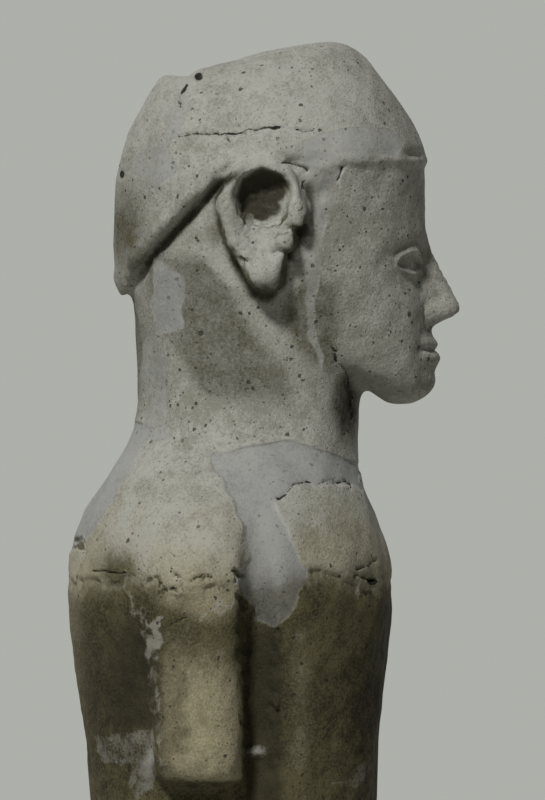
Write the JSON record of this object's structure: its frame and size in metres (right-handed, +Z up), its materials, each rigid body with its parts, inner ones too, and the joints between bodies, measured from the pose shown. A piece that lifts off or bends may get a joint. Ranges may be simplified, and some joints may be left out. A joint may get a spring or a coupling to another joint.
{
  "type": "terracotta statuette",
  "caption": "Standing terracotta votive man in a soft cap with a neck flap and large ears, columnar body, arms broken above the elbow, mended with plaster, on a low base.",
  "frame": {"origin": "middle of the body's axis on the underside of the base", "axes": "+Z up through the crown, the figure faces -Y, its right side is at -X"},
  "size_m": [0.122, 0.1235, 0.5],
  "materials": {
    "terracotta": "matt, mottled and pitted fired clay with grey plaster mends"
  },
  "bodies": {
    "root": {"statuette": "terracotta"}
  },
  "joints": []
}
